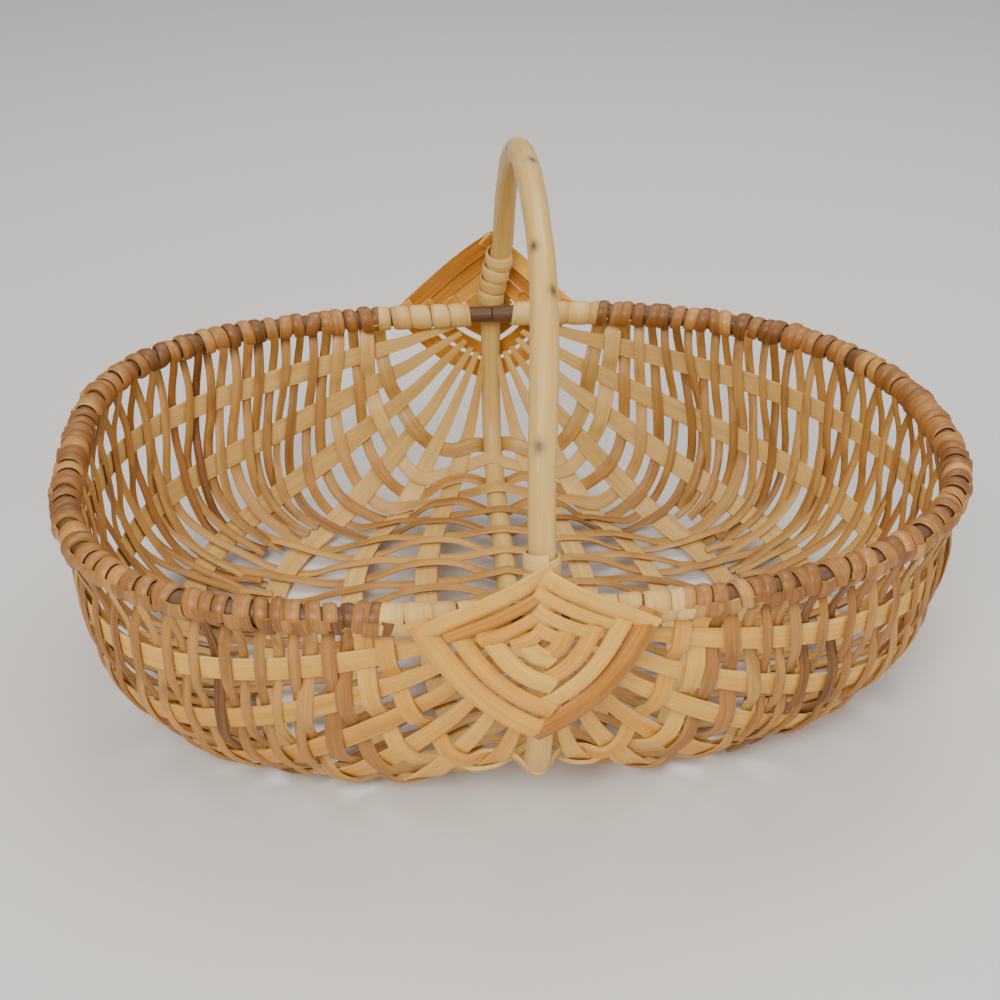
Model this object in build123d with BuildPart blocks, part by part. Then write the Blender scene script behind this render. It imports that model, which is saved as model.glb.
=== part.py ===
"""Woven market basket: a ribbed frame basket in split willow.

Two round hoops cross at right angles: the rim lies flat, the handle hoop stands
up and carries on under the basket as its keel.  Flat ribs fan from one lashed
crossing to the other, and split strands weave over and under them from rim to
keel to rim.  Millimetres, Z up, origin on the table under the basket's middle,
X along the basket, -Y towards the front crossing.
"""
import os
from math import cos, pi, sin

from build123d import *

os.makedirs("parts", exist_ok=True)

# Hoops
RIM_Z = 131.0          # height of the rim hoop's centre line above the table
RIM_HALF_LENGTH = 222.0
RIM_HALF_WIDTH = 147.0
RIM_SQUARENESS = {-1: 3.0, 1: 2.4}   # the left end is squarer than the right
RIM_SKEW = 0.04        # the hoop is pulled slightly out of square
RIM_ROD = 10.0
HANDLE_ROD = 12.0
HOOP_RADIUS = RIM_HALF_WIDTH + (RIM_ROD + HANDLE_ROD) / 2   # handle outside rim
HANDLE_RISE = 143.0    # arch above the rim
HANDLE_BOW = 7.0       # the arch leans this far to the right of its feet
KEEL_Z = 24.0          # centre line of the keel, clear of the table
KEEL_SQUARENESS = 5.0

# Basket body
LOBE_DROP = 23.43      # how far the two floors sag below the keel
WALL_TAPER = 0.17      # how far the front and back walls lean in at the base
RIBS_PER_SIDE = 6
RIB_WIDTH = 13.0
RIB_THICK = 2.0
RIB_TIP_WIDTH = 3.0
RIB_START = 0.035      # share of the rim's run hidden under each crossing

# Weaving
STRAND_WIDTH = 4.8     # at the rim
STRAND_SPREAD = 1.7    # wider by this at the keel
SPLINT_WIDTH = 8.0     # wider split pieces beside each crossing
STRAND_THICK = 2.2
WEAVE_LIFT = 2.3       # strand centre off the rib centre, either face
RIM_LIFT = (RIM_ROD + STRAND_THICK) / 2 + 0.1
KEEL_LIFT = (HANDLE_ROD + STRAND_THICK) / 2 + 0.1
SLOTS = 64             # strand ends along each side of the rim
FIRST_SLOT = 0.108     # share of the rim's run where weaving starts
FIRST_KEEL = 0.105
SHORT_REACH = 0.535    # short strands stop just past the third rib

# Lashings
EYE_SIDE = (50.0, 56.0)         # right and left reach of a crossing's diamond
EYE_DOWN = 55.0
EYE_UP = {-1: 34.0, 1: 46.0}    # front and back
EYE_BANDS = 4
BAND_GAP = 1.2
BAND_THICK = 2.0
WRAP_WIDTH = 11.0
WRAP_THICK = 1.8
TURN_WIDTH = 6.8
TURN_THICK = 1.8

TABLE = 400            # steps in each evenly stepped curve
HOOP_STEPS = 46        # circles the handle hoop is lofted through


def root(value, squareness):
    """Signed superellipse power."""
    return abs(value) ** (2 / squareness) * (1 if value >= 0 else -1)


def smooth(share):
    """Ease from 0 to 1."""
    share = min(1.0, max(0.0, share))
    return share * share * (3 - 2 * share)


def even(points, steps):
    """The same run of points, evenly stepped along its length."""
    run = [0.0]
    for a, b in zip(points, points[1:]):
        run.append(run[-1] + (b - a).length)
    out = []
    k = 0
    for i in range(steps + 1):
        want = run[-1] * i / steps
        while k < len(points) - 2 and run[k + 1] < want:
            k += 1
        span = run[k + 1] - run[k]
        share = (want - run[k]) / span if span else 0
        out.append(points[k] + (points[k + 1] - points[k]) * share)
    return out


def at(table, share):
    """Point of an evenly stepped curve at a share of its run."""
    place = min(max(share, 0.0), 1.0) * (len(table) - 1)
    k = min(int(place), len(table) - 2)
    return table[k] + (table[k + 1] - table[k]) * (place - k)


def rim_side(side):
    """Half of the rim hoop from the front crossing to the back one."""
    points = []
    for i in range(721):
        turn = pi * i / 720
        y = -RIM_HALF_WIDTH * root(cos(turn), RIM_SQUARENESS[side])
        x = side * RIM_HALF_LENGTH * root(sin(turn), RIM_SQUARENESS[side])
        points.append(Vector(x - RIM_SKEW * y * sin(turn), y, RIM_Z))
    return even(points, TABLE)


def keel_line():
    """Lower half of the handle hoop, front crossing to back crossing."""
    points = []
    for i in range(721):
        turn = pi * i / 720
        y = -HOOP_RADIUS * root(cos(turn), KEEL_SQUARENESS)
        z = RIM_Z - (RIM_Z - KEEL_Z) * root(sin(turn), KEEL_SQUARENESS)
        points.append(Vector(0, y, z))
    return even(points, TABLE)


RIM = {-1: rim_side(-1), 1: rim_side(1)}
KEEL = keel_line()
KEEL_LENGTH = sum((b - a).length for a, b in zip(KEEL, KEEL[1:]))


def keel_share(u):
    """Share along the keel that belongs to share u along the rim."""
    v = min(u, 1 - u)
    if v < 0.085:
        w = v * 2.0
    elif v < 0.2:
        w = 0.17 + (v - 0.085) * 0.957
    else:
        w = 0.28 + (v - 0.2) * 0.7333
    return w if u <= 0.5 else 1 - w


SECTIONS = {}


def section(side, u):
    """Cross line of the basket wall, evenly stepped from rim to keel."""
    key = (side, round(u, 5))
    if key not in SECTIONS:
        rim = at(RIM[side], u)
        keel = at(KEEL, keel_share(u))
        boxy = 1.3 + 3.3 * smooth(min(u, 1 - u) / 0.3)
        depth = RIM_Z - keel.Z
        sag = LOBE_DROP * (depth / (RIM_Z - KEEL_Z)) ** 3
        points = []
        for i in range(161):
            turn = pi / 2 * i / 160
            out = root(cos(turn), boxy)
            down = root(sin(turn), boxy)
            drop = (depth + sag * smooth((out - 0.12) / 0.5)) * down
            lean = WALL_TAPER * (drop / RIM_Z) ** 2
            wall_y = rim.Y * (1 - lean)
            y = wall_y + (keel.Y - wall_y) * (1 - out) ** 1.6
            points.append(Vector(rim.X * out, y, RIM_Z - drop))
        SECTIONS[key] = even(points, 70)
    return SECTIONS[key]


def wall(side, u, lam):
    """Point of the wall: u from front to back, lam from rim (0) to keel (1)."""
    return at(section(side, u), lam)


def outward(side, u, lam):
    """Outward normal of the wall."""
    down = wall(side, u, min(lam + 0.02, 1.0)) - wall(side, u, max(lam - 0.02, 0.0))
    along = wall(side, min(u + 0.01, 0.99), lam) - wall(side, max(u - 0.01, 0.01), lam)
    if lam > 0.999:
        along = at(KEEL, keel_share(u) + 0.01) - at(KEEL, keel_share(u) - 0.01)
        return Vector(0, along.Z, -along.Y).normalized()
    return down.cross(along).normalized() * side


def flat_planes(points, normals):
    """Planes square to a run of points, width lying in the wall."""
    planes = []
    last = len(points) - 1
    for i, (point, normal) in enumerate(zip(points, normals)):
        ahead = (points[min(i + 1, last)] - points[max(i - 1, 0)]).normalized()
        planes.append(Plane(origin=point, x_dir=ahead.cross(normal).normalized(), z_dir=ahead))
    return planes


def strip(planes, widths, thick):
    """One flat strip lofted through rectangles."""
    cuts = []
    for plane, width in zip(planes, widths):
        with BuildSketch(plane) as cut:
            Rectangle(width, thick)
        cuts.append(cut.sketch)
    loft(sections=cuts)


def rod(points, diameter):
    """A round rod along a run of points."""
    with BuildLine() as path:
        Spline(*points)
    with BuildSketch(Plane(origin=path.line @ 0, z_dir=path.line % 0)) as cut:
        Circle(diameter / 2)
    sweep(sections=cut.sketch, path=path.line)


def rib(side, number):
    """One flat rib, pointed where it is tucked into the two crossings."""
    lam = number / (RIBS_PER_SIDE + 1)
    points = []
    normals = []
    widths = []
    for i in range(41):
        u = RIB_START + (1 - 2 * RIB_START) * i / 40
        points.append(wall(side, u, lam))
        normals.append(outward(side, u, lam))
        widen = min(1.0, min(i, 40 - i) / 7)
        widths.append(RIB_TIP_WIDTH + (RIB_WIDTH - RIB_TIP_WIDTH) * sin(pi / 2 * widen))
    strip(flat_planes(points, normals), widths, RIB_THICK)


def lift(lam, face):
    """How far a strand stands off the wall at lam; face is +1 or -1."""
    wave = cos((RIBS_PER_SIDE + 1) * pi * lam)
    wave = wave * (1.5 - 0.5 * wave * wave)
    near_rim = max(0.0, 1 - lam * 10) ** 2
    near_keel = max(0.0, 1 - (1 - lam) * 10) ** 2
    tall = WEAVE_LIFT + (RIM_LIFT - WEAVE_LIFT) * near_rim
    tall += (KEEL_LIFT - WEAVE_LIFT) * near_keel
    return wave * tall * face


def first_face(slot):
    """Neighbours start on opposite faces; the front pair is woven the other way about."""
    front_pair = slot < 2
    return -1 if (slot % 2 == 0) == front_pair else 1


def slot_share(slot):
    return FIRST_SLOT + (1 - 2 * FIRST_SLOT) * slot / (SLOTS - 1)


def strand_share(slot, keel_u, lam):
    """A strand leaves the rim at its slot and eases to its place on the keel."""
    return slot_share(slot) + (keel_u - slot_share(slot)) * smooth(lam)


def half_strand(side, slot, keel_u, face, steps, reach):
    """Points and normals of a strand from the rim down to lam = reach."""
    points = []
    normals = []
    for i in range(steps + 1):
        lam = reach * i / steps
        u = strand_share(slot, keel_u, lam)
        normal = outward(side, u, lam)
        points.append(wall(side, u, lam) + normal * lift(lam, face))
        normals.append(normal)
    return points, normals


def long_strand(slot, keel_u, width):
    """Rim to keel to rim."""
    face = first_face(slot)
    left, left_normals = half_strand(-1, slot, keel_u, face, 23, 1.0)
    right, right_normals = half_strand(1, slot, keel_u, face, 23, 1.0)
    points = left + right[-2::-1]
    normals = left_normals + right_normals[-2::-1]
    spread = STRAND_SPREAD if width == STRAND_WIDTH else 0
    middle = len(points) // 2
    widths = [width + spread * (1 - abs(i / middle - 1)) for i in range(len(points))]
    strip(flat_planes(points, normals), widths, STRAND_THICK)


def short_strand(side, slot, keel_u):
    """Rim to just past the third rib."""
    face = first_face(slot)
    points, normals = half_strand(side, slot, keel_u, face, 16, SHORT_REACH)
    strip(flat_planes(points, normals), [STRAND_WIDTH] * len(points), STRAND_THICK)


# Which rim slots hold strands that cross the keel, and which hold short ones.
LONG_SLOTS = [0, 1, 2, 3, 4]
SHORT_SLOTS = []
for block in range(9):
    first = 5 + 6 * block
    SHORT_SLOTS += [first, first + 1, first + 2, first + 3]
    LONG_SLOTS += [first + 4, first + 5]
LONG_SLOTS += [59, 60, 61, 62, 63]


def keel_place(order):
    return FIRST_KEEL + (1 - 2 * FIRST_KEEL) * order / (len(LONG_SLOTS) - 1)


def short_keel(slot):
    """Where a short strand is heading: between its long neighbours."""
    before = len([s for s in LONG_SLOTS if s < slot])
    return keel_place(before - 1 + ((slot - 5) % 6 + 1) / 5)


def arch_point(turn):
    """Centre line of the handle, turn running from 0 at the front foot to pi at the back."""
    lean = HANDLE_BOW * min(smooth((turn - 0.3) / 0.9), smooth((pi - turn) / 0.35))
    return Vector(lean, -HOOP_RADIUS * cos(turn), RIM_Z + HANDLE_RISE * sin(turn))


# Handle hoop: arch above the rim, keel below it, ends butted under the basket
hoop_points = []
for i in range(60):
    hoop_points.append(at(KEEL, 0.4995 - 0.4995 * i / 60))
for i in range(61):
    hoop_points.append(arch_point(pi * i / 60))
for i in range(1, 61):
    hoop_points.append(at(KEEL, 1 - 0.4995 * i / 60))
hoop_run = even(hoop_points, HOOP_STEPS)
hoop_cuts = []
for i, point in enumerate(hoop_run):
    ahead = (hoop_run[min(i + 1, HOOP_STEPS)] - hoop_run[max(i - 1, 0)]).normalized()
    across = Vector(1, 0, 0) - ahead * ahead.X
    with BuildSketch(Plane(origin=point, x_dir=across, z_dir=ahead)) as cut:
        Circle(HANDLE_ROD / 2)
    hoop_cuts.append(cut.sketch)
with BuildPart() as handle_hoop:
    loft(sections=hoop_cuts)
handle_hoop.part.label = "handle_hoop"
export_step(handle_hoop.part, "parts/handle_hoop.step")

# Rim hoop: one bent rod, ends butted at the back crossing
rim_points = []
for i in range(41):
    rim_points.append(at(RIM[-1], 0.9995 - 0.9995 * i / 40))
for i in range(1, 41):
    rim_points.append(at(RIM[1], 0.9995 * i / 40))
with BuildPart() as rim_hoop:
    rod(rim_points, RIM_ROD)
rim_hoop.part.label = "rim_hoop"
export_step(rim_hoop.part, "parts/rim_hoop.step")

# Ribs
for side, word in ((-1, "left"), (1, "right")):
    for number in range(1, RIBS_PER_SIDE + 1):
        with BuildPart() as one_rib:
            rib(side, number)
        one_rib.part.label = f"{word}_rib_{number}"
        export_step(one_rib.part, f"parts/{word}_rib_{number}.step")


def save(solids, name):
    """Write separate solids as one named sub-part."""
    node = Compound(solids)
    node.label = name
    export_step(node, f"parts/{name}.step")


# Long weavers: each runs rim to rim, turns on the rim and comes back beside itself
for pair in range(len(LONG_SLOTS) // 2):
    courses = []
    for order in (2 * pair, 2 * pair + 1):
        near_eye = order < 4 or order > len(LONG_SLOTS) - 5
        width = SPLINT_WIDTH if near_eye else STRAND_WIDTH
        with BuildPart() as course:
            long_strand(LONG_SLOTS[order], keel_place(order), width)
        courses.append(course.part.solid())
    save(courses, f"weaver_{pair + 1:02d}")

# Short weavers filling the two ends
for side, word in ((-1, "left"), (1, "right")):
    for group in range(len(SHORT_SLOTS) // 4):
        courses = []
        for slot in SHORT_SLOTS[4 * group:4 * group + 4]:
            with BuildPart() as course:
                short_strand(side, slot, short_keel(slot))
            courses.append(course.part.solid())
        save(courses, f"{word}_filler_{group + 1}")


def rim_frame(side, u):
    """Point, run direction and outward direction of the rim at u."""
    point = at(RIM[side], u)
    ahead = (at(RIM[side], u + 0.004) - at(RIM[side], u - 0.004)).normalized()
    out = ahead.cross(Vector(0, 0, 1)).normalized() * side
    return point, ahead, out


def rim_turn(side, slot):
    """A strand's turn over the top of the rim."""
    u = slot_share(slot)
    point, ahead, out = rim_frame(side, u)
    radius = (RIM_ROD + TURN_THICK) / 2 + 0.05
    points = []
    normals = []
    for i in range(9):
        turn = pi * (0.03 + 0.94 * i / 8)
        normal = out * cos(turn) + Vector(0, 0, 1) * sin(turn)
        points.append(point + normal * radius + ahead * (1.2 - 2.4 * i / 8))
        normals.append(normal)
    strip(flat_planes(points, normals), [TURN_WIDTH] * 9, TURN_THICK)


# Rim turns: the rounded loops that cover the top of the rim
for side, word in ((-1, "left"), (1, "right")):
    turns = []
    for slot in range(SLOTS):
        with BuildPart() as turn:
            rim_turn(side, slot)
        turns.append(turn.part.solid())
    save(turns, f"{word}_rim_turns")


def eye_point(end, side, high, share, along):
    """Point of a god's eye: share out from the crossing, along from hoop to rim."""
    reach = EYE_SIDE[0] if side > 0 else EYE_SIDE[1]
    face = BAND_THICK / 2 + 0.3
    if high:
        angle = share * EYE_UP[end] / HANDLE_RISE
        depth = HOOP_RADIUS * cos(angle) + HANDLE_ROD / 2 + face
        height = HANDLE_RISE * sin(angle)
    else:
        depth = abs(at(KEEL, share * EYE_DOWN / KEEL_LENGTH).Y) + HANDLE_ROD / 2 + face
        height = -share * EYE_DOWN
    on_hoop = Vector(0, end * depth, RIM_Z + height)
    rim_depth = RIM_HALF_WIDTH + RIM_ROD / 2 + WRAP_THICK + face
    rim_depth += (depth - rim_depth) * (1 - share)
    on_rim = Vector(side * share * reach, end * rim_depth, RIM_Z)
    return on_hoop + (on_rim - on_hoop) * along


def band_side(end, side, high, band):
    """One straight side of a diamond band, from the hoop's face to the rim's face."""
    share = (band + 0.5) / EYE_BANDS
    points = []
    normals = []
    for i in range(5):
        along = 0.03 + 0.94 * i / 4
        points.append(eye_point(end, side, high, share, along))
        normals.append(Vector(0, end, 0))
    width = EYE_DOWN / EYE_BANDS * 0.72 - BAND_GAP
    strip(flat_planes(points, normals), [width] * 5, BAND_THICK)


# God's eyes: nested diamond bands of wide splint lashing the two crossings
for end, word in ((-1, "front"), (1, "back")):
    sides = []
    for band in range(EYE_BANDS):
        for side in (-1, 1):
            for high in (True, False):
                with BuildPart() as straight:
                    band_side(end, side, high, band)
                sides.append(straight.part.solid())
    save(sides, f"gods_eye_{word}")


def sleeve(plane, bore, width):
    """One turn of splint round a rod."""
    with BuildSketch(plane) as ring:
        Circle(bore / 2 + WRAP_THICK)
        Circle(bore / 2 + 0.05, mode=Mode.SUBTRACT)
    extrude(ring.sketch, amount=width / 2, both=True)


# Wide splint turns on the rim beside each crossing
for end, fore in ((-1, "front"), (1, "back")):
    for side, word in ((-1, "left"), (1, "right")):
        with BuildPart() as wraps:
            for turn in range(4):
                u = 0.034 + turn * 0.0195
                point, ahead, out = rim_frame(side, u if end < 0 else 1 - u)
                sleeve(Plane(origin=point, z_dir=ahead), RIM_ROD, WRAP_WIDTH)
        wraps.part.label = f"rim_wrap_{fore}_{word}"
        export_step(wraps.part, f"parts/rim_wrap_{fore}_{word}.step")

# Splint binding round each handle leg just above the rim
for end, word in ((-1, "front"), (1, "back")):
    with BuildPart() as binding:
        for turn in range(3):
            rise = 0.055 + 0.075 * turn
            turn_at = rise if end < 0 else pi - rise
            ahead = (arch_point(turn_at + 0.01) - arch_point(turn_at - 0.01)).normalized()
            sleeve(Plane(origin=arch_point(turn_at), z_dir=ahead), HANDLE_ROD, WRAP_WIDTH - 1)
    binding.part.label = f"handle_binding_{word}"
    export_step(binding.part, f"parts/handle_binding_{word}.step")
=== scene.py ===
"""Looks of the woven market basket: split willow woven on flat ribs round two hoops."""

import math
import random

import bpy
import numpy as np
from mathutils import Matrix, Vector


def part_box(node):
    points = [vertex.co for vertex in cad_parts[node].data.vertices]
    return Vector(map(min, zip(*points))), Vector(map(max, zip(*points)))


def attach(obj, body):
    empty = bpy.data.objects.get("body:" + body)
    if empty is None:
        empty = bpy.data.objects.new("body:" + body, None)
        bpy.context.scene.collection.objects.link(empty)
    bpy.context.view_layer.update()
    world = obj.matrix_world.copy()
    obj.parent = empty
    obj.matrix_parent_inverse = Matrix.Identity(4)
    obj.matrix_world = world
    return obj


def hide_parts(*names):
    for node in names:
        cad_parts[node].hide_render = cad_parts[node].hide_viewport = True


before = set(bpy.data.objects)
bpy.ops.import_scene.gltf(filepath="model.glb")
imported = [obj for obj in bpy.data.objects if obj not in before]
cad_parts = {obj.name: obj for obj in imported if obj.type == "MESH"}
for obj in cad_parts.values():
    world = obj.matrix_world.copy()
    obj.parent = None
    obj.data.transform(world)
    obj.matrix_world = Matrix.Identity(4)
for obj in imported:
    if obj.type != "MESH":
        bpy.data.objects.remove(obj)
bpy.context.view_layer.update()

# Sizes read from the frame, in metres
RIM_LOW, RIM_HIGH = (np.array(corner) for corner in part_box("rim_hoop"))
HOOP_LOW, HOOP_HIGH = (np.array(corner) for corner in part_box("handle_hoop"))
RIM_ROD = RIM_HIGH[2] - RIM_LOW[2]
RIM_Z = (RIM_HIGH[2] + RIM_LOW[2]) / 2
RIM_HALF_WIDTH = (RIM_HIGH[1] - RIM_LOW[1] - RIM_ROD) / 2
HANDLE_ROD = 0.012
HOOP_RADIUS = RIM_HALF_WIDTH + (RIM_ROD + HANDLE_ROD) / 2
HANDLE_RISE = HOOP_HIGH[2] - HANDLE_ROD / 2 - RIM_Z
KEEL_Z = HOOP_LOW[2] + HANDLE_ROD / 2

# Hoops, as the CAD part states them; side is -1 left or 1 right, end is -1 front or 1 back
RIM_HALF_LENGTH = 0.222
RIM_SQUARENESS = {-1: 3.0, 1: 2.4}
RIM_SKEW = 0.04
HANDLE_BOW = 0.007
KEEL_SQUARENESS = 5.0

# Basket wall: u runs along the rim from front to back, lam from the rim (0) to the keel (1)
LOBE_DROP = 0.02343         # how far the two floors sag below the keel
LOBE_START = 0.12           # share of the way out where a lobe begins
LOBE_RUN = 0.5
WALL_TAPER = 0.17           # how far the front and back walls lean in at the base
BOXY_LEAST = 1.3            # squareness of the wall's cross line beside a crossing
BOXY_MORE = 3.3             # and what it gains by mid basket
BOXY_RUN = 0.3
KEEL_PULL = 1.6             # how late a cross line turns towards its place on the keel
RIM_SHARES = (0, 0.085, 0.2, 0.5)
KEEL_SHARES = (0, 0.17, 0.28, 0.5)
EDGE_U = 0.012              # the wall isn't used nearer a crossing than this
U_STEPS = 240
LAM_STEPS = 140
TRACE_STEPS = 721
TABLE_STEPS = 400
CROSS_STEPS = 161

# Ribs
RIBS_PER_SIDE = 6
RIB_WIDTH = 0.013
RIB_THICK = 0.002
RIB_START = 0.035           # share of the rim's run hidden under each crossing
RIB_TIP_WIDTH = 0.003
RIB_TAPER = 0.16
RIB_STEPS = 150
RIB_SHADE = 0.6             # ribs are paler than the strands

# Strands
STRAND_WIDTH = 0.0052       # at the rim
STRAND_SPREAD = 0.0017      # wider by this at the keel
SPLINT_WIDTH = 0.0088       # split pieces beside each crossing
HALF_SPLINT = 0.78          # the next strands are this share of that width
STRAND_THICK = 0.0022
WEAVE_LIFT = 0.0023
RIM_LIFT = (RIM_ROD + STRAND_THICK) / 2
KEEL_LIFT = (HANDLE_ROD + STRAND_THICK) / 2
SLOTS = 64                  # strand ends along each side of the rim
FIRST_SLOT = 0.108
FIRST_KEEL = 0.105
SHORT_REACH = 0.535         # short strands stop just past the third rib
LONG_STEPS = 80
SHORT_STEPS = 50
WANDER = 0.0030             # sideways, as a share of the rim's run
STRAY = 0.0004              # in and out
WIDTH_DRIFT = 0.09
THICK_DRIFT = 0.07
TURNED_CHANCE = 0.12        # how often a long strand shows its split side
PLAIN_CHANCE = 0.85         # how often a short strand or a rim turn is the usual way round

# Turns of strand or splint round a rod
TURN_STEPS = 26             # per full turn
TURN_START = -0.35          # radians below the outward direction
TURN_CLIMB = 0.0007         # the end lies over the start
TURN_DRIFT = 0.06
RIM_PITCH = 0.0084
RIM_TURNS_ROUND = 1.12
WRAPS = 5
WRAP_FIRST = 0.030
WRAP_PITCH = 0.0185
WRAP_WIDTH = 0.0112
WRAP_THICK = 0.0015
WRAP_ROUND = 1.1
BINDINGS = 4
BINDING_FIRST = 0.045       # radians up the handle's arch
BINDING_PITCH = 0.060
BINDING_WIDTH = 0.0098
BINDING_THICK = 0.0014
BINDING_SLANT = 0.004

# God's eyes
EYE_SIDE = {1: 0.050, -1: 0.056}
EYE_DOWN = 0.055
EYE_UP = {-1: 0.034, 1: 0.046}
EYE_BANDS = 4
EYE_MIDDLE = 0.62           # a band's centre line, in band pitches from its inner edge
EYE_GAP = 0.0012            # band clear of the hoop it crosses
EYE_LAP = 0.0016            # a band lies this far over its neighbour at one end
EYE_CROWN = 0.0008
EYE_PAST = 0.0048           # how far a band runs past each corner
EYE_TUCK = 0.004            # the outer band's under end goes in by this
TUCK_RUN = 0.07
EYE_THICK = 0.0017
BOW_UP = -0.001             # bow of the outer band's sides above and below the rim
BOW_DOWN = 0.007
RIM_COVER = 0.0022          # what the rim wraps add to the rim's face

# Knots on the handle: share along the hoop, and which of the rod's facets
KNOTS = (
    (0.335, 11), (0.362, 2), (0.405, 8), (0.43, 12),
    (0.465, 3), (0.50, 9), (0.55, 14), (0.61, 11),
)
KNOT_LENGTH = 1.7           # in steps along the hoop
KNOT_REACH = 1.15           # in facets
KNOT_SWELL = 0.03
HOOP_STEPS = 520
ROD_DRIFT = 0.022
RIM_DRIFT = 0.02
RIM_STEPS = 260
ROD_END = 0.9995            # the hoops' ends are butted, with a hair between them

# Grain coordinates run in metres along a strip; each strip starts at a random place
GRAIN_ROUND = 0.016
GRAIN_START = 40
GRAIN_START_ROUND = 5
SHARP_ANGLE = 50

UP = np.array([0, 0, 1.0])
CHANCE = random.Random(7)


# ---------------------------------------------------------------- wall shape
def root(value, squareness):
    """Signed superellipse power."""
    return np.sign(value) * np.abs(value) ** (2 / squareness)


def smooth(share):
    """Ease from 0 to 1."""
    share = np.clip(share, 0, 1)
    return share * share * (3 - 2 * share)


def even(points, steps):
    """The same run of points, evenly stepped along its length."""
    run = np.r_[0, np.cumsum(np.linalg.norm(np.diff(points, axis=0), axis=1))]
    want = np.linspace(0, run[-1], steps + 1)
    return np.stack([np.interp(want, run, points[:, k]) for k in range(3)], axis=1)


def at(table, share):
    """Points of an evenly stepped curve at shares of its run."""
    share = np.clip(np.asarray(share, float), 0, 1) * (len(table) - 1)
    low = np.minimum(share.astype(int), len(table) - 2)
    part = (share - low)[..., None]
    return table[low] * (1 - part) + table[low + 1] * part


def rim_side(side):
    """Half of the rim hoop from the front crossing to the back one."""
    turn = np.linspace(0, math.pi, TRACE_STEPS)
    y = -RIM_HALF_WIDTH * root(np.cos(turn), RIM_SQUARENESS[side])
    x = side * RIM_HALF_LENGTH * root(np.sin(turn), RIM_SQUARENESS[side])
    x = x - RIM_SKEW * y * np.sin(turn)
    return even(np.stack([x, y, np.full_like(x, RIM_Z)], axis=1), TABLE_STEPS)


def keel_line():
    """Lower half of the handle hoop, front crossing to back crossing."""
    turn = np.linspace(0, math.pi, TRACE_STEPS)
    y = -HOOP_RADIUS * root(np.cos(turn), KEEL_SQUARENESS)
    z = RIM_Z - (RIM_Z - KEEL_Z) * root(np.sin(turn), KEEL_SQUARENESS)
    return even(np.stack([0 * y, y, z], axis=1), TABLE_STEPS)


RIM = {side: rim_side(side) for side in (-1, 1)}
KEEL = keel_line()
KEEL_LENGTH = np.linalg.norm(np.diff(KEEL, axis=0), axis=1).sum()


def keel_share(u):
    """Share along the keel that belongs to share u along the rim."""
    share = np.interp(min(u, 1 - u), RIM_SHARES, KEEL_SHARES)
    return share if u <= 0.5 else 1 - share


def section(side, u):
    """Cross line of the wall, evenly stepped from rim to keel."""
    rim = at(RIM[side], u)
    keel = at(KEEL, keel_share(u))
    boxy = BOXY_LEAST + BOXY_MORE * smooth(min(u, 1 - u) / BOXY_RUN)
    depth = RIM_Z - keel[2]
    sag = LOBE_DROP * (depth / (RIM_Z - KEEL_Z)) ** 3
    turn = np.linspace(0, math.pi / 2, CROSS_STEPS)
    out = root(np.cos(turn), boxy)
    down = root(np.sin(turn), boxy)
    drop = (depth + sag * smooth((out - LOBE_START) / LOBE_RUN)) * down
    wall_y = rim[1] * (1 - WALL_TAPER * (drop / RIM_Z) ** 2)
    y = wall_y + (keel[1] - wall_y) * (1 - out) ** KEEL_PULL
    return even(np.stack([rim[0] * out, y, RIM_Z - drop], axis=1), LAM_STEPS)


def wall_tables(side):
    """The wall's points and outward normals on a grid of u and lam."""
    points = np.stack([section(side, u) for u in np.linspace(0, 1, U_STEPS + 1)])
    along = np.gradient(points, axis=0)
    down = np.gradient(points, axis=1)
    normals = np.cross(down, along) * side
    normals[:, -1, 0] = 0
    size = np.linalg.norm(normals, axis=2, keepdims=True)
    normals /= np.maximum(size, 1e-12)
    return points, normals


WALL = {side: wall_tables(side) for side in (-1, 1)}


def wall(side, u, lam):
    """Points and outward normals of the wall at arrays u and lam."""
    u = np.clip(u, EDGE_U, 1 - EDGE_U) * U_STEPS
    lam = np.clip(lam, 0, 1) * LAM_STEPS
    i = np.minimum(u.astype(int), U_STEPS - 1)
    j = np.minimum(lam.astype(int), LAM_STEPS - 1)
    a = (u - i)[:, None]
    b = (lam - j)[:, None]
    out = []
    for table in WALL[side]:
        low = table[i, j] * (1 - b) + table[i, j + 1] * b
        high = table[i + 1, j] * (1 - b) + table[i + 1, j + 1] * b
        out.append(low * (1 - a) + high * a)
    size = np.linalg.norm(out[1], axis=1, keepdims=True)
    return out[0], out[1] / np.maximum(size, 1e-9)


def rim_frame(side, u):
    """Point, run direction and outward direction of the rim at u."""
    ahead = at(RIM[side], u + 0.004) - at(RIM[side], u - 0.004)
    ahead /= np.linalg.norm(ahead)
    out = np.cross(ahead, [0, 0, 1]) * side
    return at(RIM[side], u), ahead, out / np.linalg.norm(out)


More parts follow.
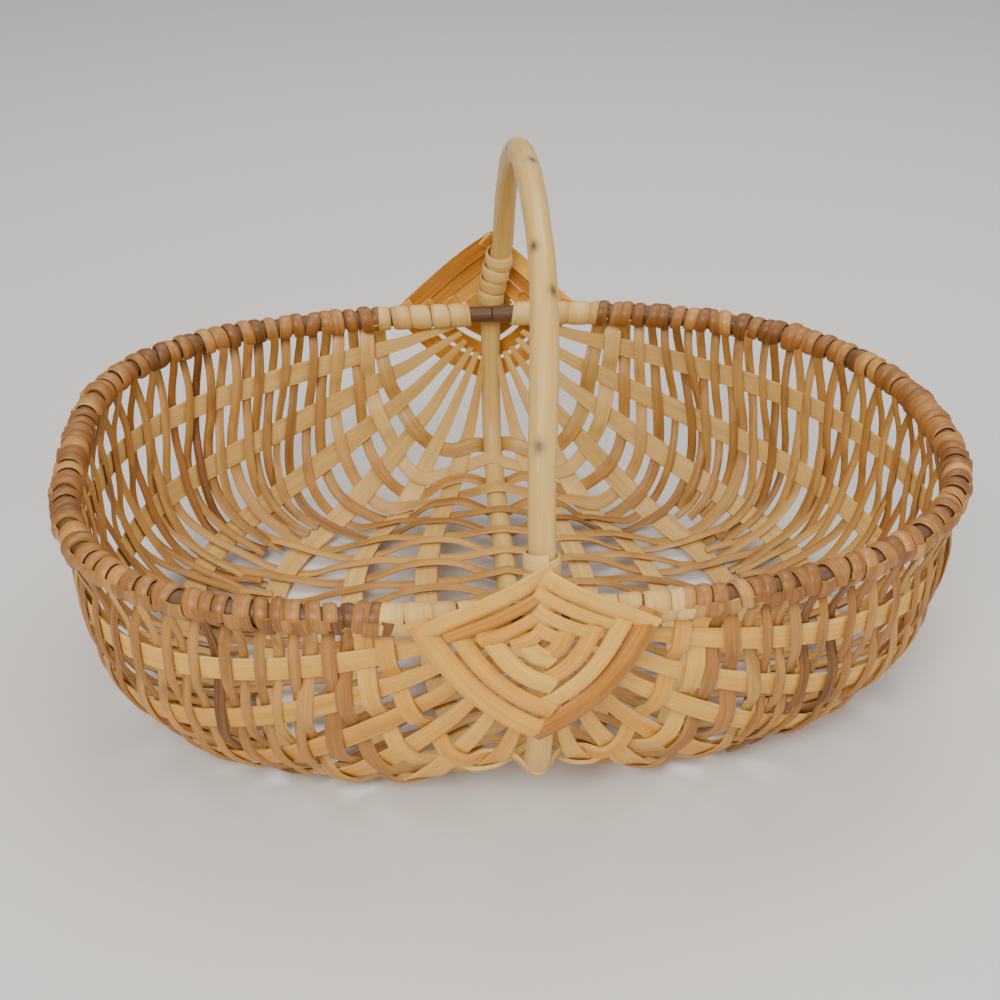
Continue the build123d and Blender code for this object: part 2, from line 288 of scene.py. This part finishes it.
# ---------------------------------------------------------------- mesh making
class Weave:
    """Collects swept strips and rods, then makes one mesh object of them."""

    def __init__(self):
        self.points = []
        self.faces = []
        self.uvs = []
        self.bark = []
        self.tint = []
        self.mark = []

    def sweep(self, path, normals, outline, widths, thicks, tint, bark, mark=None):
        """Sweep an outline of (across, up) shares along a path and cap it."""
        path = np.asarray(path)
        ahead = np.gradient(path, axis=0)
        ahead /= np.maximum(np.linalg.norm(ahead, axis=1, keepdims=True), 1e-9)
        normals = normals - ahead * (normals * ahead).sum(1, keepdims=True)
        normals /= np.maximum(np.linalg.norm(normals, axis=1, keepdims=True), 1e-9)
        across = np.cross(ahead, normals)
        rings, sides = len(path), len(outline)
        shares = np.asarray(outline)
        widths = np.broadcast_to(widths, rings)[:, None, None]
        thicks = np.broadcast_to(thicks, rings)[:, None, None]
        ring = path[:, None] + across[:, None] * shares[None, :, :1] * widths
        ring = ring + normals[:, None] * shares[None, :, 1:2] * thicks
        first = len(self.points)
        self.points.extend(ring.reshape(-1, 3).tolist())
        run = np.r_[0, np.cumsum(np.linalg.norm(np.diff(path, axis=0), axis=1))]
        run = run + CHANCE.uniform(0, GRAIN_START)
        rounds = np.linspace(0, GRAIN_ROUND, sides + 1) + CHANCE.uniform(0, GRAIN_START_ROUND)
        marks = np.zeros((rings, sides)) if mark is None else mark
        for i in range(rings):
            self.bark.extend(bark)
            self.tint.extend([tint] * sides)
            self.mark.extend(marks[i].tolist())
        for i in range(rings - 1):
            for k in range(sides):
                a = first + i * sides + k
                b = first + i * sides + (k + 1) % sides
                self.faces.append((a, b, b + sides, a + sides))
                self.uvs.extend([
                    (run[i], rounds[k]),
                    (run[i], rounds[k + 1]),
                    (run[i + 1], rounds[k + 1]),
                    (run[i + 1], rounds[k]),
                ])
        for start, flip in ((first, True), (first + (rings - 1) * sides, False)):
            loop = list(range(start, start + sides))
            self.faces.append(tuple(reversed(loop)) if flip else tuple(loop))
            self.uvs.extend([(run[0], rounds[0])] * sides)

    def build(self, name, material, node):
        """Make the object, dress it, hang it under the root body and hide the CAD node it stands
        for.
        """
        mesh = bpy.data.meshes.new(name)
        mesh.from_pydata(self.points, [], self.faces)
        layer = mesh.uv_layers.new(name="grain")
        layer.data.foreach_set("uv", np.array(self.uvs).ravel())
        for label, values in (("bark", self.bark), ("tint", self.tint), ("mark", self.mark)):
            data = mesh.attributes.new(label, "FLOAT", "POINT")
            data.data.foreach_set("value", values)
        mesh.polygons.foreach_set("use_smooth", [True] * len(mesh.polygons))
        mesh.set_sharp_from_angle(angle=math.radians(SHARP_ANGLE))
        mesh.validate()
        mesh.materials.append(material)
        piece = bpy.data.objects.new(name, mesh)
        bpy.context.scene.collection.objects.link(piece)
        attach(piece, "root")
        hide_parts(node)


def half_round(arc=7):
    """Split willow: bark side round and outward, split side flat; points and their bark."""
    turns = [math.pi * k / (arc - 1) for k in range(arc)]
    outline = [(0.5 * math.cos(t), 0.62 * math.sin(t) - 0.15) for t in turns]
    outline += [(-0.40, -0.38), (0.0, -0.42), (0.40, -0.38)]
    bark = [0.35] + [1.0] * (arc - 2) + [0.35] + [0.0] * 3
    return outline, bark


def flat_splint(cup=0.0):
    """A thin wide splint with rounded edges, slightly cupped."""
    outline = [(0.5, 0.0), (0.46, 0.4), (0.2, 0.5 + cup), (-0.2, 0.5 + cup)]
    outline += [(-0.46, 0.4), (-0.5, 0.0), (-0.46, -0.4), (-0.2, -0.5 + cup)]
    outline += [(0.2, -0.5 + cup), (0.46, -0.4)]
    return outline, [0.2, 0.6, 1.0, 1.0, 0.6, 0.2, 0.0, 0.0, 0.0, 0.0]


def round_rod(sides=20):
    """A round rod."""
    turns = [2 * math.pi * k / sides for k in range(sides)]
    return [(0.5 * math.cos(t), 0.5 * math.sin(t)) for t in turns], [1.0] * sides


HALF_ROUND = half_round()
TURNED_OVER = ([(a, -b) for a, b in HALF_ROUND[0]][::-1], HALF_ROUND[1][::-1])
SPLINT = flat_splint()
CUPPED = flat_splint(0.25)
ROD = round_rod()


def drift(count, size, scale):
    """A smooth random wander of about the given size."""
    knots = max(3, int(count / scale))
    values = [CHANCE.gauss(0, 1) for _ in range(knots)]
    place = np.linspace(0, knots - 1, count)
    low = np.minimum(place.astype(int), knots - 2)
    part = place - low
    part = part * part * (3 - 2 * part)
    values = np.array(values)
    return size * (values[low] * (1 - part) + values[low + 1] * part)


# ---------------------------------------------------------------- weaving
# Which rim slots hold strands that cross the keel, and which hold short ones
LONG_SLOTS = [0, 1, 2, 3, 4]
SHORT_SLOTS = []
for block in range(9):
    first = 5 + 6 * block
    SHORT_SLOTS += [first, first + 1, first + 2, first + 3]
    LONG_SLOTS += [first + 4, first + 5]
LONG_SLOTS += [59, 60, 61, 62, 63]
LAST_LONG = len(LONG_SLOTS) - 1


def slot_share(slot):
    """Share along the rim where a slot's strand leaves it."""
    return FIRST_SLOT + (1 - 2 * FIRST_SLOT) * slot / (SLOTS - 1)


def keel_place(order):
    """Place on the keel of a long strand, counted from the front."""
    return FIRST_KEEL + (1 - 2 * FIRST_KEEL) * order / LAST_LONG


def short_keel(slot):
    """Where a short strand is heading: between its long neighbours."""
    before = len([s for s in LONG_SLOTS if s < slot])
    return keel_place(before - 1 + ((slot - 5) % 6 + 1) / 5)


def lift(lam, face):
    """How far a strand stands off the wall at lam; face is +1 or -1."""
    wave = np.cos((RIBS_PER_SIDE + 1) * math.pi * lam)
    wave = wave * (1.5 - 0.5 * wave * wave)
    near_rim = np.clip(1 - lam * 10, 0, None) ** 2
    near_keel = np.clip(1 - (1 - lam) * 10, 0, None) ** 2
    tall = WEAVE_LIFT + (RIM_LIFT - WEAVE_LIFT) * near_rim
    return wave * (tall + (KEEL_LIFT - WEAVE_LIFT) * near_keel) * face


def half_strand(side, slot, keel_u, steps, reach):
    """Points and normals of a strand from the rim down to lam = reach."""
    lam = np.linspace(0, reach, steps + 1)
    u = slot_share(slot) + (keel_u - slot_share(slot)) * smooth(lam)
    wander = drift(steps + 1, WANDER, 14) * np.sin(math.pi * np.clip(lam, 0, 1)) ** 0.5
    points, normals = wall(side, u + wander, lam)
    stray = drift(steps + 1, STRAY, 8)
    off_wall = lift(lam, first_face(slot)) + stray
    return points + normals * off_wall[:, None], normals


def first_face(slot):
    """Neighbours start on opposite faces; the front pair is woven the other way about."""
    front_pair = slot < 2
    return -1 if (slot % 2 == 0) == front_pair else 1


def strand_tint():
    """A strand's own shade, from pale (0) to dark (1)."""
    return min(1.0, max(0.0, CHANCE.gauss(0.42, 0.22)))


def long_strand(weave, slot, keel_u, width, outline):
    """Rim to keel to rim."""
    left, left_normals = half_strand(-1, slot, keel_u, LONG_STEPS, 1.0)
    right, right_normals = half_strand(1, slot, keel_u, LONG_STEPS, 1.0)
    left[-1] = (left[-1] + right[-1]) / 2
    points = np.concatenate([left, right[-2::-1]])
    normals = np.concatenate([left_normals, right_normals[-2::-1]])
    count = len(points)
    spread = 0 if outline is SPLINT else STRAND_SPREAD
    widths = width + spread * (1 - np.abs(np.linspace(-1, 1, count)))
    widths = widths * (1 + drift(count, WIDTH_DRIFT, 25))
    thicks = STRAND_THICK * (1 + drift(count, THICK_DRIFT, 25))
    weave.sweep(points, normals, outline[0], widths, thicks, strand_tint(), outline[1])


def short_strand(weave, side, slot, keel_u):
    """Rim to just past the third rib."""
    reach = SHORT_REACH + CHANCE.uniform(-0.04, 0.03)
    points, normals = half_strand(side, slot, keel_u, SHORT_STEPS, reach)
    widths = STRAND_WIDTH * (1 + drift(len(points), WIDTH_DRIFT, 20))
    outline = HALF_ROUND if CHANCE.random() < PLAIN_CHANCE else TURNED_OVER
    weave.sweep(points, normals, outline[0], widths, STRAND_THICK, strand_tint(), outline[1])


def weavers(material, splint_material):
    """Long strands in pairs; those beside the crossings are wide splints."""
    pairs = len(LONG_SLOTS) // 2
    for pair in range(pairs):
        weave = Weave()
        for order in (2 * pair, 2 * pair + 1):
            from_end = min(order, LAST_LONG - order)
            width = STRAND_WIDTH * CHANCE.uniform(0.9, 1.2)
            outline = TURNED_OVER if CHANCE.random() < TURNED_CHANCE else HALF_ROUND
            if from_end < 2:
                width = SPLINT_WIDTH
                outline = SPLINT
            elif from_end < 4:
                width = SPLINT_WIDTH * HALF_SPLINT
            long_strand(weave, LONG_SLOTS[order], keel_place(order), width, outline)
        node = f"weaver_{pair + 1:02d}"
        dress = splint_material if pair in (0, pairs - 1) else material
        weave.build(f"willow_{node}", dress, node)


def fillers(material):
    """Short strands, four to a sub-part, filling the two ends."""
    for side, word in ((-1, "left"), (1, "right")):
        for group in range(len(SHORT_SLOTS) // 4):
            weave = Weave()
            for slot in SHORT_SLOTS[4 * group:4 * group + 4]:
                short_strand(weave, side, slot, short_keel(slot))
            node = f"{word}_filler_{group + 1}"
            weave.build(f"willow_{node}", material, node)


def ribs(material):
    """Flat splints, pointed where they are tucked into the crossings."""
    for side, word in ((-1, "left"), (1, "right")):
        for number in range(1, RIBS_PER_SIDE + 1):
            u = np.linspace(RIB_START, 1 - RIB_START, RIB_STEPS)
            lam = number / (RIBS_PER_SIDE + 1) + drift(RIB_STEPS, 0.004, 40)
            points, normals = wall(side, u, lam)
            from_tip = np.minimum(u - RIB_START, 1 - RIB_START - u)
            ends = np.clip(from_tip / RIB_TAPER, 0, 1)
            widths = RIB_TIP_WIDTH + (RIB_WIDTH - RIB_TIP_WIDTH) * np.sin(math.pi / 2 * ends)
            tint = strand_tint() * RIB_SHADE
            weave = Weave()
            weave.sweep(points, normals, SPLINT[0], widths, RIB_THICK, tint, SPLINT[1])
            node = f"{word}_rib_{number}"
            weave.build(f"splint_{node}", material, node)


# ---------------------------------------------------------------- hoops and lashings
def arch_points(turn):
    """Centre line of the handle, turn running from 0 at the front foot to pi at the back."""
    rising = smooth((turn - 0.3) / 0.9)
    falling = smooth((math.pi - turn) / 0.35)
    lean = HANDLE_BOW * np.minimum(rising, falling)
    high = RIM_Z + HANDLE_RISE * np.sin(turn)
    return np.stack([lean, -HOOP_RADIUS * np.cos(turn), high], axis=-1)


def hoop_points():
    """The handle hoop's centre line, from the keel's middle round and back."""
    front = at(KEEL, np.linspace(0.4995, 0, 90))
    arch = arch_points(np.linspace(0, math.pi, 121)[1:-1])
    back = at(KEEL, np.linspace(1, 0.5005, 90))
    return np.concatenate([front, arch, back])


def handle(material):
    """A peeled rod with small dark knots."""
    points = even(hoop_points(), HOOP_STEPS)
    normals = np.tile([1.0, 0, 0], (len(points), 1))
    width = HANDLE_ROD * (1 + drift(len(points), ROD_DRIFT, 30))
    sides = len(ROD[0])
    mark = np.zeros((len(points), sides))
    for share, facet in KNOTS:
        run = (np.arange(len(points)) - share * len(points)) / KNOT_LENGTH
        turn = (np.arange(sides) - facet + sides / 2) % sides - sides / 2
        round_by = np.abs(turn) / KNOT_REACH
        mark += np.exp(-run[:, None] ** 2 - round_by[None, :] ** 2)
        width = width * (1 + KNOT_SWELL * np.exp(-(run / 3) ** 2))
    mark = np.clip(mark, 0, 1)
    weave = Weave()
    weave.sweep(points, normals, ROD[0], width, width, 0.3, ROD[1], mark)
    weave.build("peeled_handle_hoop", material, "handle_hoop")


def rim(material):
    """A rod still in its bark."""
    left = at(RIM[-1], np.linspace(ROD_END, 0, RIM_STEPS))
    right = at(RIM[1], np.linspace(0.002, ROD_END, RIM_STEPS))
    points = np.concatenate([left, right])
    normals = np.tile([0, 0, 1.0], (len(points), 1))
    width = RIM_ROD * (1 + drift(len(points), RIM_DRIFT, 25))
    weave = Weave()
    weave.sweep(points, normals, ROD[0], width, width, 0.5, ROD[1])
    weave.build("bark_rim_hoop", material, "rim_hoop")


def loop_round(weave, place, up, bore, width, thick, slant, turns, outline, tint):
    """A strip wound round a rod; place is the rod's point, run and outward directions."""
    centre, ahead, out = place
    count = int(TURN_STEPS * turns)
    angle = np.linspace(TURN_START, 2 * math.pi * turns + TURN_START, count)
    spread = np.linspace(-0.5, 0.5, count)
    normals = np.outer(np.cos(angle), out) + np.outer(np.sin(angle), up)
    radius = bore / 2 + thick / 2 + TURN_CLIMB * np.linspace(0, 1, count)
    points = centre + normals * radius[:, None] + np.outer(spread * slant, ahead)
    widths = width * (1 + drift(count, TURN_DRIFT, 10))
    weave.sweep(points, normals, outline[0], widths, thick, tint, outline[1])


def rim_turns(material):
    """Each strand's turn round the rim, side by side all the way along."""
    for side, word in ((-1, "left"), (1, "right")):
        weave = Weave()
        for slot in range(SLOTS):
            u = slot_share(slot) + CHANCE.uniform(-0.002, 0.002)
            width = RIM_PITCH * CHANCE.uniform(0.66, 0.95)
            thick = CHANCE.uniform(0.0017, 0.0026)
            slant = CHANCE.uniform(0.003, 0.009) * CHANCE.choice((1, 1, 1, -1))
            outline = HALF_ROUND if CHANCE.random() < PLAIN_CHANCE else CUPPED
            tint = strand_tint()
            loop_round(weave, rim_frame(side, u), UP, RIM_ROD, width, thick, slant,
                       RIM_TURNS_ROUND, outline, tint)
        weave.build(f"willow_{word}_rim_turns", material, f"{word}_rim_turns")


def rim_wraps(material):
    """Wide pale splint turns on the rim beside each crossing."""
    for end, fore in ((-1, "front"), (1, "back")):
        for side, word in ((-1, "left"), (1, "right")):
            weave = Weave()
            for turn in range(WRAPS):
                u = WRAP_FIRST + turn * WRAP_PITCH
                place = rim_frame(side, u if end < 0 else 1 - u)
                width = WRAP_WIDTH * CHANCE.uniform(0.85, 1.1)
                slant = CHANCE.uniform(0.002, 0.006)
                tint = CHANCE.uniform(0.1, 0.5)
                loop_round(weave, place, UP, RIM_ROD, width, WRAP_THICK, slant,
                           WRAP_ROUND, CUPPED, tint)
            node = f"rim_wrap_{fore}_{word}"
            weave.build(f"splint_{node}", material, node)


def handle_bindings(material):
    """Splint wound round each handle leg just above the rim."""
    for end, word in ((-1, "front"), (1, "back")):
        weave = Weave()
        for turn in range(BINDINGS):
            rise = BINDING_FIRST + BINDING_PITCH * turn
            centre = arch_points(np.array(rise if end < 0 else math.pi - rise))
            ahead = np.array([0, -end * math.sin(rise), math.cos(rise)])
            out = np.array([0, end * math.cos(rise), math.sin(rise)])
            tint = CHANCE.uniform(0.1, 0.4)
            loop_round(weave, (centre, ahead, out), np.array([1.0, 0, 0]), HANDLE_ROD,
                       BINDING_WIDTH, BINDING_THICK, BINDING_SLANT, WRAP_ROUND, CUPPED, tint)
        node = f"handle_binding_{word}"
        weave.build(f"splint_{node}", material, node)


def eye_front(end, x, height):
    """How far out a god's eye lies: on the hoop at x = 0, on the rim at its side corners."""
    if height > 0:
        hoop = HOOP_RADIUS * math.sqrt(1 - (height / HANDLE_RISE) ** 2)
    else:
        hoop = abs(at(KEEL, -height / KEEL_LENGTH)[1])
    hoop += HANDLE_ROD / 2
    rim_front = RIM_HALF_WIDTH + RIM_ROD / 2 + RIM_COVER
    return hoop + (rim_front - hoop) * smooth(abs(x) / EYE_SIDE[1] * 0.95)


def eye_side(weave, end, side, high, band, over_at_hoop):
    """One straight side of a diamond band, over its neighbour at one end and under at the other."""
    share = (band + EYE_MIDDLE) / EYE_BANDS
    tall = EYE_UP[end] if high else -EYE_DOWN
    on_hoop = np.array([0, share * tall])
    on_rim = np.array([side * share * EYE_SIDE[side], 0])
    length = np.linalg.norm(on_rim - on_hoop)
    past = EYE_PAST / length
    outer = band == EYE_BANDS - 1
    points = []
    bow = np.array([side * EYE_DOWN, -EYE_SIDE[side]]) / math.hypot(EYE_DOWN, EYE_SIDE[side])
    bow = bow * share * (BOW_UP if high else BOW_DOWN)
    for part in np.linspace(-past, 1 + past, 19):
        x, height = on_hoop + (on_rim - on_hoop) * part + bow * math.sin(math.pi * part)
        shift = EYE_LAP * (1 - smooth(part) if over_at_hoop else smooth(part))
        crown = EYE_CROWN * math.sin(math.pi * part)
        depth = eye_front(end, x, height) + EYE_GAP + shift + crown
        if outer:
            from_end = part if over_at_hoop else 1 - part
            depth -= EYE_TUCK * smooth((TUCK_RUN - from_end) / (TUCK_RUN + past))
        points.append([x, end * depth, RIM_Z + height])
    points = np.array(points)
    normals = np.tile([0.0, end, 0.0], (len(points), 1))
    pitch = EYE_SIDE[side] * abs(tall) / math.hypot(EYE_SIDE[side], tall) / EYE_BANDS
    width = pitch * (1.12 if outer else 0.93) * CHANCE.uniform(0.92, 1.06)
    tint = CHANCE.uniform(0.0, 1.0)
    weave.sweep(points, normals, CUPPED[0], width, EYE_THICK, tint, CUPPED[1])


def gods_eyes(material):
    """Nested diamond bands that lash each crossing."""
    for end, word in ((-1, "front"), (1, "back")):
        weave = Weave()
        for band in range(EYE_BANDS):
            for side in (-1, 1):
                for high in (True, False):
                    eye_side(weave, end, side, high, band, (side > 0) == high)
        weave.build(f"splint_gods_eye_{word}", material, f"gods_eye_{word}")


# ---------------------------------------------------------------- materials
def ramp(nodes, stops):
    """A colour ramp through (place, colour) stops."""
    node = nodes.new("ShaderNodeValToRGB")
    while len(node.color_ramp.elements) < len(stops):
        node.color_ramp.elements.new(0.5)
    for element, (place, colour) in zip(node.color_ramp.elements, stops):
        element.position = place
        element.color = (*colour, 1)
    return node


def attribute(nodes, name):
    """One of the values stored on the mesh's points."""
    node = nodes.new("ShaderNodeAttribute")
    node.attribute_name = name
    return node.outputs["Fac"]


def grain(nodes, links, uv, along, across, detail=6.0):
    """Noise stretched along the fibres."""
    mapping = nodes.new("ShaderNodeMapping")
    mapping.inputs["Scale"].default_value = (along, across, 1)
    links.new(uv, mapping.inputs["Vector"])
    noise = nodes.new("ShaderNodeTexNoise")
    noise.inputs["Scale"].default_value = 1
    noise.inputs["Detail"].default_value = detail
    noise.inputs["Roughness"].default_value = 0.62
    links.new(mapping.outputs["Vector"], noise.inputs["Vector"])
    return noise.outputs["Fac"]


def mix(nodes, links, factor, one, two):
    """Blend two colours."""
    node = nodes.new("ShaderNodeMix")
    node.data_type = "RGBA"
    for socket, value in ((node.inputs[0], factor), (node.inputs[6], one), (node.inputs[7], two)):
        if isinstance(value, bpy.types.NodeSocket):
            links.new(value, socket)
        elif isinstance(value, tuple):
            socket.default_value = (*value, 1)
        else:
            socket.default_value = value
    return node.outputs[2]


def maths(nodes, links, kind, one, two):
    """Arithmetic on two values, kept between 0 and 1."""
    node = nodes.new("ShaderNodeMath")
    node.operation = kind
    node.use_clamp = True
    for socket, value in zip(node.inputs, (one, two)):
        if isinstance(value, bpy.types.NodeSocket):
            links.new(value, socket)
        else:
            socket.default_value = value
    return node.outputs[0]


def willow(name, wood, bark, knot=(0.05, 0.025, 0.012), rough=0.5, stain=0.35, bump=0.35):
    """Willow with fibres along each strip; wood and bark are (dark, middle, pale) colours."""
    material = bpy.data.materials.new(name)
    material.use_nodes = True
    nodes, links = material.node_tree.nodes, material.node_tree.links
    shader = nodes["Principled BSDF"]
    uv = nodes.new("ShaderNodeUVMap")
    uv.uv_map = "grain"
    uv = uv.outputs["UV"]
    fibre = grain(nodes, links, uv, 18, 1500)
    streak = grain(nodes, links, uv, 9, 420, 3)
    patch = grain(nodes, links, uv, 26, 90, 3)
    tint = attribute(nodes, "tint")
    shade = maths(nodes, links, "ADD", maths(nodes, links, "MULTIPLY", fibre, 0.42),
                  maths(nodes, links, "MULTIPLY", streak, 0.38))
    shade = maths(nodes, links, "ADD", shade, 0.30)
    shade = maths(nodes, links, "SUBTRACT", shade, maths(nodes, links, "MULTIPLY", tint, 0.42))
    colours = []
    for dark, middle, pale in (wood, bark):
        scale = ramp(nodes, ((0.22, dark), (0.5, middle), (0.78, pale)))
        links.new(shade, scale.inputs["Fac"])
        colours.append(scale.outputs["Color"])
    side = attribute(nodes, "bark")
    colour = mix(nodes, links, side, colours[0], colours[1])
    worn = ramp(nodes, ((0.52, (0, 0, 0)), (0.66, (1, 1, 1))))
    links.new(patch, worn.inputs["Fac"])
    worn = maths(nodes, links, "MULTIPLY", worn.outputs["Color"], stain)
    colour = mix(nodes, links, worn, colour, bark[0])
    colour = mix(nodes, links, attribute(nodes, "mark"), colour, knot)
    links.new(colour, shader.inputs["Base Color"])
    gloss = ramp(nodes, ((0.3, (rough + 0.12,) * 3), (0.7, (rough - 0.1,) * 3)))
    links.new(streak, gloss.inputs["Fac"])
    links.new(gloss.outputs["Color"], shader.inputs["Roughness"])
    raised = nodes.new("ShaderNodeBump")
    raised.inputs["Strength"].default_value = bump
    raised.inputs["Distance"].default_value = 0.0006
    links.new(maths(nodes, links, "ADD", maths(nodes, links, "MULTIPLY", fibre, 0.6),
                    maths(nodes, links, "MULTIPLY", streak, 0.4)), raised.inputs["Height"])
    links.new(raised.outputs["Normal"], shader.inputs["Normal"])
    return material


# Dark, middle and pale colours, linear
WOOD = ((0.20, 0.080, 0.014), (0.46, 0.225, 0.050), (0.68, 0.405, 0.125))
BARK = ((0.110, 0.036, 0.007), (0.37, 0.150, 0.028), (0.64, 0.340, 0.080))
RIM_BARK = ((0.090, 0.028, 0.006), (0.31, 0.118, 0.023), (0.58, 0.285, 0.066))
GOLD = ((0.34, 0.110, 0.008), (0.70, 0.315, 0.036), (0.86, 0.53, 0.110))
PALE = ((0.33, 0.165, 0.035), (0.60, 0.355, 0.095), (0.80, 0.56, 0.205))
HANDLE = ((0.31, 0.16, 0.032), (0.58, 0.360, 0.095), (0.75, 0.52, 0.18))
ROD_BARK = ((0.05, 0.024, 0.011), (0.13, 0.062, 0.026), (0.26, 0.13, 0.055))


def plain(name, colour, rough):
    """One even colour."""
    material = bpy.data.materials.new(name)
    material.use_nodes = True
    shader = material.node_tree.nodes["Principled BSDF"]
    shader.inputs["Base Color"].default_value = (*colour, 1)
    shader.inputs["Roughness"].default_value = rough
    return material


# ---------------------------------------------------------------- stage
# Lights: name, place, size and power
LIGHTS = (
    ("key", (-0.55, -1.25, 1.35), 0.8, 29),
    ("fill", (1.2, -0.7, 0.9), 1.0, 8),
    ("top", (0.15, 0.55, 1.5), 1.1, 14),
)
LIGHT_AIM = (0, 0, 0.08)
LIGHT_COLOUR = (1.0, 0.95, 0.87)
SKY_COLOUR = (0.93, 0.95, 1.0, 1)
SKY_STRENGTH = 0.42
FLOOR_COLOUR = (0.72, 0.71, 0.70)

LENS = 54
AZIMUTH = math.radians(-4.3)
ELEVATION = math.radians(33)
DISTANCE = 0.722
TARGET = (-0.0103, -0.056, RIM_Z)


def studio():
    """A plain pale floor, three soft lights and a pale sky."""
    bpy.ops.mesh.primitive_plane_add(size=12, location=(0, 0, 0))
    floor = bpy.context.object
    floor.name = "floor"
    floor.data.materials.append(plain("pale_floor", FLOOR_COLOUR, 0.75))
    world = bpy.data.worlds.new("studio")
    bpy.context.scene.world = world
    world.use_nodes = True
    sky = world.node_tree.nodes["Background"]
    sky.inputs["Color"].default_value = SKY_COLOUR
    sky.inputs["Strength"].default_value = SKY_STRENGTH
    for name, place, size, power in LIGHTS:
        data = bpy.data.lights.new(name, "AREA")
        data.size = size
        data.energy = power
        data.color = LIGHT_COLOUR
        lamp = bpy.data.objects.new(name, data)
        lamp.location = place
        aim = Vector(LIGHT_AIM) - Vector(place)
        lamp.rotation_euler = aim.to_track_quat("-Z", "Y").to_euler()
        bpy.context.scene.collection.objects.link(lamp)


def camera():
    """Above the front, a little to its left."""
    data = bpy.data.cameras.new("camera")
    data.lens = LENS
    data.sensor_width = 36
    eye = bpy.data.objects.new("camera", data)
    level = math.cos(ELEVATION)
    back = Vector((math.sin(AZIMUTH) * level, -math.cos(AZIMUTH) * level, math.sin(ELEVATION)))
    eye.location = Vector(TARGET) + back * DISTANCE
    eye.rotation_euler = (-back).to_track_quat("-Z", "Y").to_euler()
    bpy.context.scene.collection.objects.link(eye)
    bpy.context.scene.camera = eye


golden = willow("golden_splint", GOLD, GOLD, rough=0.42, stain=0.25)
weavers(willow("split_willow", WOOD, BARK), willow("wide_splint", PALE, GOLD, stain=0.2))
fillers(willow("end_willow", WOOD, BARK, stain=0.45))
ribs(willow("rib_splint", PALE, GOLD, stain=0.2))
handle(willow("peeled_rod", HANDLE, HANDLE, rough=0.42, stain=0.12, bump=0.2))
rim(willow("bark_rod", ROD_BARK, ROD_BARK))
rim_turns(willow("rim_willow", WOOD, RIM_BARK, rough=0.42))
rim_wraps(willow("pale_wrap", PALE, PALE, stain=0.2))
handle_bindings(willow("pale_splint", PALE, PALE, stain=0.15))
gods_eyes(golden)
studio()
camera()
